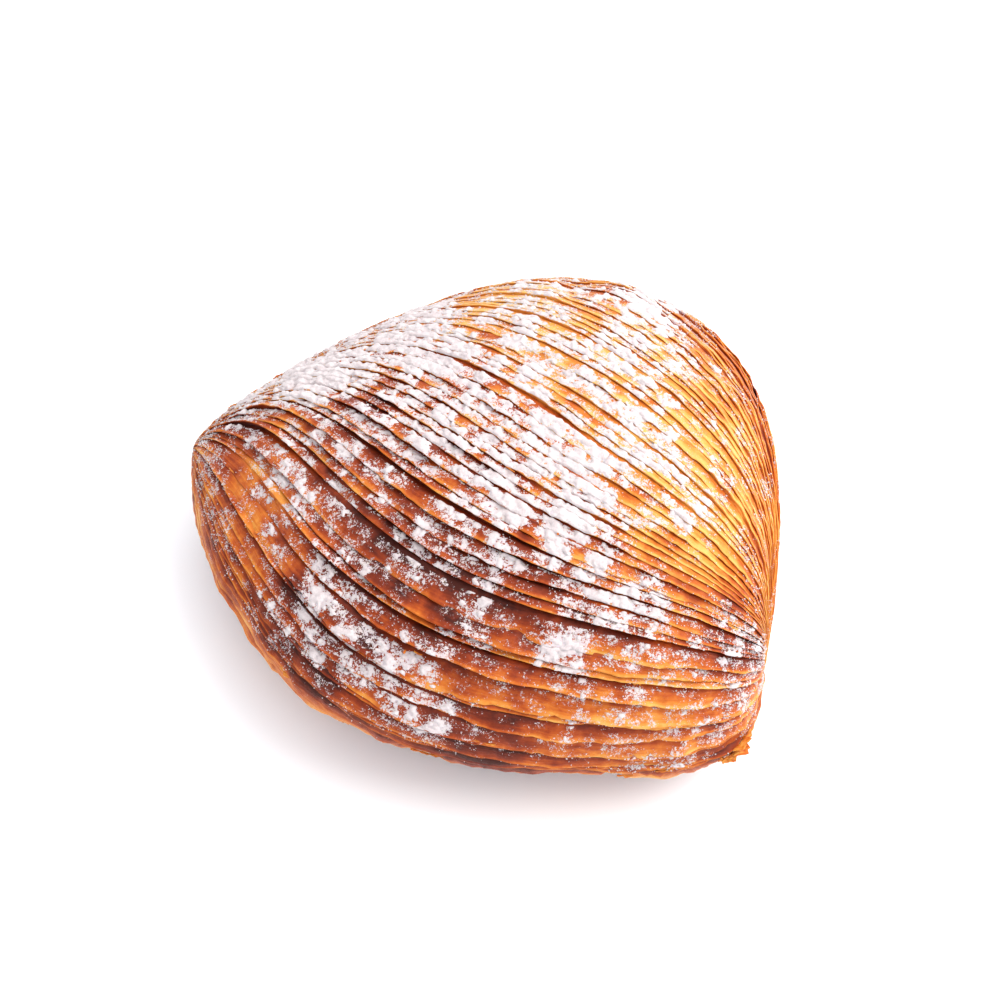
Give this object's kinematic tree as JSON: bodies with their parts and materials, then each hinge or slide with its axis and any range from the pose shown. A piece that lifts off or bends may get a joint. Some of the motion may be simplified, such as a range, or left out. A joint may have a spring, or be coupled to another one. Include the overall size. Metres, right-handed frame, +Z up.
{
  "type": "sfogliatella",
  "caption": "Baked sfogliatella: a shell-shaped pastry of thin fanned leaves that run from one gathered end to the other, dusted with icing sugar.",
  "frame": {"origin": "middle of the base of the bounding box, on the tray plane", "axes": "+X from the pointed gathered end on the left to the blunt gathered end on the right, +Y to the back, +Z up; the leaves' free edges face -Y"},
  "size_m": [0.112, 0.1028, 0.0569],
  "materials": {
    "baked_leaves": "baked laminated pastry, golden orange to mahogany brown, thin paler leaf edges, satin where the fat glazed it"
  },
  "bodies": {
    "root": {"pastry": "baked_leaves"}
  },
  "joints": []
}
